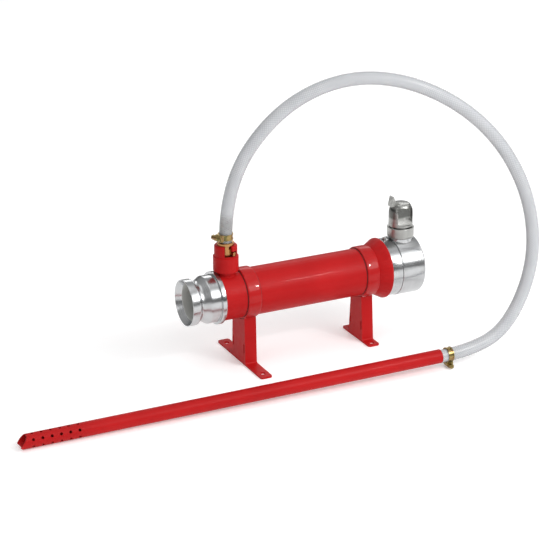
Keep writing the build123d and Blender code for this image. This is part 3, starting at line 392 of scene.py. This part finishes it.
def roundedProfile(corners, radii, steps=5):
    # closed outline of straight runs, each corner replaced by a curve that starts and ends
    # one cut-back from it: (1-t)^2 a + 2t(1-t) corner + t^2 b
    p = np.array(corners, float)
    before, after = np.roll(p, 1, 0), np.roll(p, -1, 0)
    toBefore, toAfter = before - p, after - p
    lengthBefore = np.linalg.norm(toBefore, axis=1)
    lengthAfter = np.linalg.norm(toAfter, axis=1)
    cut = np.minimum(np.array(radii, float), 0.45 * np.minimum(lengthBefore, lengthAfter))
    a = p + toBefore * (cut / lengthBefore)[:, None]
    b = p + toAfter * (cut / lengthAfter)[:, None]
    t = np.linspace(0, 1, steps)[None, :, None]
    curve = (1 - t) ** 2 * a[:, None] + 2 * t * (1 - t) * p[:, None] + t ** 2 * b[:, None]
    return curve.reshape(-1, 2)


def splitRuns(outline, longest):
    # adds evenly spaced points on runs longer than the given length
    following = np.roll(outline, -1, 0)
    counts = np.maximum(1, np.ceil(np.linalg.norm(following - outline, axis=1) / longest)).astype(int)
    starts = np.repeat(np.arange(len(outline)), counts)
    first = np.repeat(np.cumsum(counts) - counts, counts)
    share = (np.arange(counts.sum()) - first) / np.repeat(counts, counts)
    return outline[starts] + (following - outline)[starts] * share[:, None]


def lathe(name, corners, radii, centre, axis, material, slotName, body="root", segments=192, longest=0.006):
    # point(angle, s) = centre + along(s) on the axis + radius(s) * (cos angle, sin angle) across it
    outline = splitRuns(roundedProfile(corners, radii), longest)
    angle = np.linspace(0, 2 * np.pi, segments, endpoint=False)
    along = np.repeat(outline[:, :1], segments, 1)
    u = outline[:, 1:] * np.cos(angle)
    v = outline[:, 1:] * np.sin(angle)
    order = {"X": (along, u, v), "Z": (u, v, along)}[axis]
    points = np.stack(order, -1) + np.array(centre)
    return gridMesh(name, points, (1.0, 1.0), True, True, material, slotName, body)


def softened(node, name, material, body, width=0.0004, angle=35.0, segments=2, flatten=True):
    # a copy of a CAD node, its loose triangles merged and its sharp edges rounded
    mesh = nodes[node].data.copy()
    mesh.name = name
    mesh.materials.clear()
    work = bmesh.new()
    work.from_mesh(mesh)
    bmesh.ops.remove_doubles(work, verts=work.verts, dist=0.000004)
    if flatten:
        bmesh.ops.dissolve_limit(work, angle_limit=math.radians(0.6), verts=work.verts, edges=work.edges)
    work.to_mesh(mesh)
    work.free()
    mesh.shade_smooth()
    mesh.set_sharp_from_angle(angle=math.radians(angle))
    piece = bpy.data.objects.new(name, mesh)
    bpy.context.scene.collection.objects.link(piece)
    piece.data.materials.append(material)
    bevel = piece.modifiers.new("edges", "BEVEL")
    bevel.width, bevel.segments = width, segments
    bevel.limit_method, bevel.angle_limit = "ANGLE", math.radians(angle)
    bevel.harden_normals = True
    bevel.use_clamp_overlap = True
    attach(piece, body)
    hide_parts(node)
    return piece


# The suction hose: its line first, because the clamps and the braid follow it

hoseSizes = {
    "route": [
        (-0.0308, 0, 0.205), (-0.0308, 0, 0.260), (-0.002, -0.007, 0.347), (0.066, -0.021, 0.420),
        (0.154, -0.039, 0.454), (0.247, -0.060, 0.444), (0.336, -0.085, 0.398), (0.402, -0.108, 0.329),
        (0.440, -0.130, 0.240), (0.441, -0.148, 0.144), (0.395, -0.162, 0.056), (0.33095, -0.16773, 0.02071),
        (0.261, -0.1656, 0.0198),
    ],
    "radius": 0.0105, "bore": 0.0076, "length": 1.0678,
    "braidRadius": 0.0092, "yarn": 0.00042, "yarns": 10, "turnLength": 0.030,
}


def splineLine(route, resolution):
    curve = bpy.data.curves.new("hoseLine", "CURVE")
    curve.dimensions = "3D"
    spline = curve.splines.new("NURBS")
    spline.points.add(len(route) - 1)
    spline.points.foreach_set("co", np.column_stack([np.array(route), np.ones(len(route))]).reshape(-1))
    spline.order_u = 3
    spline.use_endpoint_u = True
    spline.resolution_u = resolution
    guide = bpy.data.objects.new("hoseLine", curve)
    bpy.context.scene.collection.objects.link(guide)
    bpy.context.view_layer.update()
    mesh = bpy.data.meshes.new_from_object(guide)
    line = np.zeros(len(mesh.vertices) * 3)
    mesh.vertices.foreach_get("co", line)
    bpy.data.objects.remove(guide)
    bpy.data.curves.remove(curve)
    bpy.data.meshes.remove(mesh)
    return line.reshape(-1, 3)


def frames(line, steady):
    # tangent by differences; the two cross directions lean on one steady direction
    tangent = np.gradient(line, axis=0)
    tangent /= np.linalg.norm(tangent, axis=1)[:, None]
    side = np.cross(tangent, steady)
    side /= np.linalg.norm(side, axis=1)[:, None]
    return tangent, side, np.cross(side, tangent)


def resample(line, count):
    # the same line with its points evenly spaced
    steps = np.concatenate([[0], np.cumsum(np.linalg.norm(np.diff(line, axis=0), axis=1))])
    wanted = np.linspace(0, steps[-1], count)
    return np.stack([np.interp(wanted, steps, line[:, k]) for k in range(3)], 1), steps[-1]


hoseLine, hoseMeasured = resample(splineLine(hoseSizes["route"], 40), 700)
hoseSteady = np.array([0.28, 0.95, 0.02])


def makeHose(h):
    # tube wall: line + radius * (cos a * side + sin a * other), outside there and bore back
    _, side, other = frames(hoseLine, hoseSteady)
    angle = np.linspace(0, 2 * np.pi, 40, endpoint=False)
    ring = np.cos(angle)[None, :, None] * side[:, None] + np.sin(angle)[None, :, None] * other[:, None]
    outside = hoseLine[:, None] + h["radius"] * ring
    inside = (hoseLine[:, None] + h["bore"] * ring)[::-1]
    hose = gridMesh("hoseWall", np.concatenate([outside, inside]), (1.0, 2.0), True, True, clearVinyl, "clear_hose")
    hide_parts("suction_hose")
    # braid: yarns wound both ways, each a small four-sided thread on the wall's middle
    count = 1400
    fine, total = resample(hoseLine, count)
    _, side, other = frames(fine, hoseSteady)
    travel = np.linspace(0, total, count)
    parts = []
    for sense in (1, -1):
        for k in range(h["yarns"]):
            turn = sense * 2 * np.pi * travel / h["turnLength"] + 2 * np.pi * k / h["yarns"]
            outward = np.cos(turn)[:, None] * side + np.sin(turn)[:, None] * other
            lift = h["braidRadius"] + sense * h["yarn"] * 0.5
            parts.append((fine + lift * outward, outward))
    braidPieces = []
    for line, outward in parts:
        tangent = np.gradient(line, axis=0)
        tangent /= np.linalg.norm(tangent, axis=1)[:, None]
        across = np.cross(tangent, outward)
        corner = np.array([0, 0.5, 1, 1.5]) * np.pi
        ring = np.cos(corner)[None, :, None] * across[:, None] * 1.5 + np.sin(corner)[None, :, None] * outward[:, None] * 0.7
        braidPieces.append(line[:, None] + h["yarn"] * ring)
    return hose, joinGrids("hoseBraid", braidPieces, braidYarn, "clear_hose")


def joinGrids(name, grids, material, slotName, body="root"):
    # many closed tubes of one size, laid end to end in one mesh, their ends capped
    rows, columns = grids[0].shape[:2]
    r, c = np.meshgrid(np.arange(rows - 1), np.arange(columns), indexing="ij")
    cNext = (c + 1) % columns
    quads = np.stack([r * columns + c, r * columns + cNext, (r + 1) * columns + cNext, (r + 1) * columns + c], -1)
    quads = quads.reshape(-1, 4)
    first = np.arange(columns)[::-1].reshape(1, 4)
    last = (np.arange(columns) + (rows - 1) * columns).reshape(1, 4)
    one = np.concatenate([quads, first, last])
    faces = np.concatenate([one + k * rows * columns for k in range(len(grids))])
    mesh = bpy.data.meshes.new(name)
    mesh.from_pydata(np.concatenate([g.reshape(-1, 3) for g in grids]).tolist(), [], faces.tolist())
    return place(name, mesh, material, slotName, body)


hoseWall, hoseBraid = makeHose(hoseSizes)
print("hose made, line", round(float(hoseMeasured), 4))


# Turned pieces of the waterway

adapterSizes = {
    "corners": [
        (-0.0930, 0.0295), (-0.1025, 0.0357), (-0.1025, 0.0369), (-0.0895, 0.0369), (-0.0850, 0.0320),
        (-0.0805, 0.0320), (-0.0705, 0.0380), (-0.0545, 0.0380), (-0.0545, 0.0420), (-0.0480, 0.0420),
        (-0.0470, 0.0410), (-0.0470, 0.0381), (-0.0515, 0.0381), (-0.0515, 0.0348), (-0.0440, 0.0348),
        (-0.0440, 0.03145), (-0.0535, 0.03145), (-0.0535, 0.0295),
    ],
    "radii": [0.0008, 0.0004, 0.0006, 0.0012, 0.0016, 0.0016, 0.0010, 0.0004, 0.0005, 0.0004, 0.0004,
              0.0002, 0.0001, 0.0001, 0.0002, 0.0001, 0.0001, 0.0002],
}
adapter = lathe("inletAdapter", adapterSizes["corners"], adapterSizes["radii"], tubeCentre, "X", adapterAluminium,
                "turned_aluminium", longest=0.003)
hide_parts("male_inlet_adapter")

strapSizes = {"half": 0.011, "inside": 0.0381, "outside": 0.04105, "edge": 0.0400, "shoulder": 0.04078}


def makeStrap(side, centre, s):
    # rolled strip with a slightly crowned back and rolled-over edges
    half, run = s["half"], 0.0014
    corners = [
        (-half, s["inside"]), (-half, s["edge"]), (-half + run, s["shoulder"]), (0, s["outside"]),
        (half - run, s["shoulder"]), (half, s["edge"]), (half, s["inside"]),
    ]
    radii = [0.0001, 0.0005, 0.0010, 0.0045, 0.0010, 0.0005, 0.0001]
    strap = lathe(side + "Strap", [(x + centre, r) for x, r in corners], radii, tubeCentre, "X", strapEnamel,
                  "red_enamel", longest=0.002)
    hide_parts(side + "_strap_band")


shadowLineSizes = {"offset": 0.0115, "half": 0.0006, "inside": 0.0378, "outside": 0.0384}


def makeShadowLine(name, centre, s):
    # painted shadow: a near-black line in the crease beside a strap
    corners = [(centre + x * s["half"], r) for x, r in (
        (-1, s["inside"]), (-1, s["outside"]), (1, s["outside"]), (1, s["inside"]))]
    return lathe(name, corners, [0.0001] * 4, tubeCentre, "X", shadowLinePaint, "red_enamel")


softened("coupling_tail", "couplingTail", bodyAluminium, "root", 0.0003)
softened("coupling_body", "couplingBody", bodyAluminium, "root", 0.0005)
softened("lug_housing", "lugHousing", lugAluminium, "root", 0.0003)
softened("release_knob", "releaseKnob", knobAluminium, "knob", 0.0006, segments=3)
softened("lug_plunger", "lugPlunger", lugSteel, "plunger", 0.0003)
softened("knob_pin", "knobPin", pinSteel, "knob", 0.0003)
softened("locking_screw", "lockingScrew", pinSteel, "root", 0.0003)
for part in ("inlet", "wand"):
    for kind, width in (("band", 0.00015), ("housing", 0.0004), ("screw", 0.0003)):
        softened(f"{part}_clamp_{kind}", f"{part}Clamp{kind.title()}", yellowZinc, "root", width)
softened("hose_tail", "hoseTail", socketBrass, "root", 0.0003)
softened("wand_spigot", "wandSpigot", wandBrass, "root", 0.0002)
softened("foam_inlet_socket", "foamSocket", redEnamel, "root", 0.0005)
softened("inlet_leg", "inletLeg", redEnamel, "root", 0.0005)
softened("outlet_leg", "outletLeg", redEnamel, "root", 0.0005)
softened("pickup_wand", "pickupWand", redEnamel, "root", 0.0003)
softened("body_tube", "bodyTube", redEnamel, "root", 0.0003)
for side, centre in (("inlet", 0.001), ("outlet", 0.211)):
    makeStrap(side, centre, strapSizes)
    # a painted shadow line at each side of each strap
    for end, sense in (("Front", -1), ("Back", 1)):
        makeShadowLine(side + "Seam" + end, centre + sense * shadowLineSizes["offset"], shadowLineSizes)
softened("outlet_cone", "outletCone", redEnamel, "root", 0.0006)

weldSizes = {"radius": 0.0142, "tube": 0.03805, "bead": 0.0011, "rings": 120, "corners": 10}


def makeWeld(name, w):
    # where the socket's neck meets the tube: height = sqrt(tube^2 - (neck * sin a)^2) above the axis
    a = np.linspace(0, 2 * np.pi, w["rings"], endpoint=False)
    x, y = w["radius"] * np.cos(a), w["radius"] * np.sin(a)
    line = np.stack([socketX + x, y, axisHeight + np.sqrt(w["tube"] ** 2 - y ** 2)], 1)
    outward = np.stack([np.cos(a), np.sin(a), np.zeros_like(a)], 1)
    bead = w["bead"] * (1 + 0.12 * np.sin(23 * a))[:, None, None]  # ripples of the weld
    b = np.linspace(0, 2 * np.pi, w["corners"], endpoint=False)
    ring = np.cos(b)[None, :, None] * outward[:, None] + np.sin(b)[None, :, None] * np.array([0, 0, 1.0])
    return gridMesh(name, line[:, None] + bead * ring, (1.0, 1.0), True, True, redEnamel, "red_enamel")


makeWeld("socketWeld", weldSizes)

for node, material in (
    ("nozzle_gasket", blackRubber), ("coupling_seal", blackRubber), ("tail_o_ring", blackRubber),
    ("inlet_nozzle", nozzleDark), ("nozzle_retaining_ring", nozzleDark), ("diffuser", nozzleDark),
    ("valve_seat", socketBrass), ("valve_cage", socketBrass), ("check_ball", whiteBall),
    ("check_spring", pinSteel), ("lug_spring", pinSteel),
):
    nodes[node].data.materials.clear()
    nodes[node].data.materials.append(material)
print("pieces made")


# Floor and light

def makeFloor():
    mesh = bpy.data.meshes.new("floor")
    half = 80.0
    mesh.from_pydata([(-half, -half, 0), (half, -half, 0), (half, half, 0), (-half, half, 0)], [], [(0, 1, 2, 3)])
    floor = bpy.data.objects.new("floor", mesh)
    bpy.context.scene.collection.objects.link(floor)
    mat, shader = newMaterial("paleFloor", (0.90, 0.90, 0.90), 0.8, Emission_Color=(1, 1, 1, 1), Emission_Strength=0.26)
    floor.data.materials.append(mat)


def areaLight(name, place, target, size, power, color=(1, 1, 1)):
    data = bpy.data.lights.new(name, "AREA")
    data.shape, data.size, data.size_y = "RECTANGLE", size[0], size[1]
    data.energy, data.color = power, color
    light = bpy.data.objects.new(name, data)
    bpy.context.scene.collection.objects.link(light)
    light.location = place
    light.rotation_euler = (Vector(target) - Vector(place)).to_track_quat("-Z", "Y").to_euler()


def makeSky(s):
    # brightness by the height of the direction: a dark room at eye level, a wide soft light overhead
    world.use_nodes = True
    tree = world.node_tree
    shade = tree.nodes["Background"]
    shade.inputs["Color"].default_value = (1, 1, 1, 1)
    direction = tree.nodes.new("ShaderNodeTexCoord")
    parts = tree.nodes.new("ShaderNodeSeparateXYZ")
    ramp = tree.nodes.new("ShaderNodeValToRGB")
    tree.links.new(direction.outputs["Generated"], parts.inputs[0])
    tree.links.new(parts.outputs["Z"], ramp.inputs["Fac"])
    stops = ramp.color_ramp.elements
    while len(stops) < len(s["stops"]):
        stops.new(0.5)
    for stop, (place, value) in zip(stops, s["stops"]):
        stop.position, stop.color = place, (value, value, value, 1)

    def node(kind, inputs, **settings):
        made = tree.nodes.new("ShaderNode" + kind)
        for key, value in settings.items():
            setattr(made, key, value)
        for key, value in inputs.items():
            if isinstance(value, bpy.types.NodeSocket):
                tree.links.new(value, made.inputs[key])
            else:
                made.inputs[key].default_value = value
        return made.outputs[0]

    # a broad panel with soft edges: a band of heights, faded out away from its own bearing
    p = s["panel"]
    rise = node("MapRange", {"Value": parts.outputs["Z"], 1: p["height"][0], 2: p["height"][1]})
    fall = node("MapRange", {"Value": parts.outputs["Z"], 1: p["height"][3], 2: p["height"][2]})
    bearing = node("Math", {0: node("Math", {0: parts.outputs["X"], 1: p["toward"][0]}, operation="MULTIPLY"),
                            1: node("Math", {0: parts.outputs["Y"], 1: p["toward"][1]}, operation="MULTIPLY")})
    turn = node("MapRange", {"Value": bearing, 1: p["side"][0], 2: p["side"][1]})
    share = node("Math", {0: node("Math", {0: rise, 1: fall}, operation="MULTIPLY"), 1: turn}, operation="MULTIPLY")
    glow = node("Math", {0: share, 1: p["value"], 2: ramp.outputs["Color"]}, operation="MULTIPLY_ADD")
    tree.links.new(glow, shade.inputs["Strength"])


skySettings = {
    "stops": [(0.0, 0.09), (0.14, 0.12), (0.42, 0.34), (0.86, 0.46), (0.95, 1.2), (1.0, 1.5)],
    "panel": {"height": (0.34, 0.46, 0.74, 0.86), "toward": (0.530, -0.848), "side": (0.26, 0.44), "value": 1.35},
}
makeFloor()
makeSky(skySettings)
bpy.context.scene.view_settings.view_transform = "Standard"
areaLight("softbox", (1.35, -1.84, 1.54), (0.1, -0.05, 0.12), (1.6, 1.0), 18)
areaLight("glint", (1.02, -1.50, 1.42), (0.1, -0.05, 0.12), (0.14, 0.09), 6.0)
areaLight("left", (-2.2, -0.9, 1.1), (0.0, 0, 0.12), (1.0, 1.0), 4)
areaLight("back", (1.0, 1.9, 1.25), (0.2, 0, 0.2), (1.5, 0.7), 7)
print("light set")
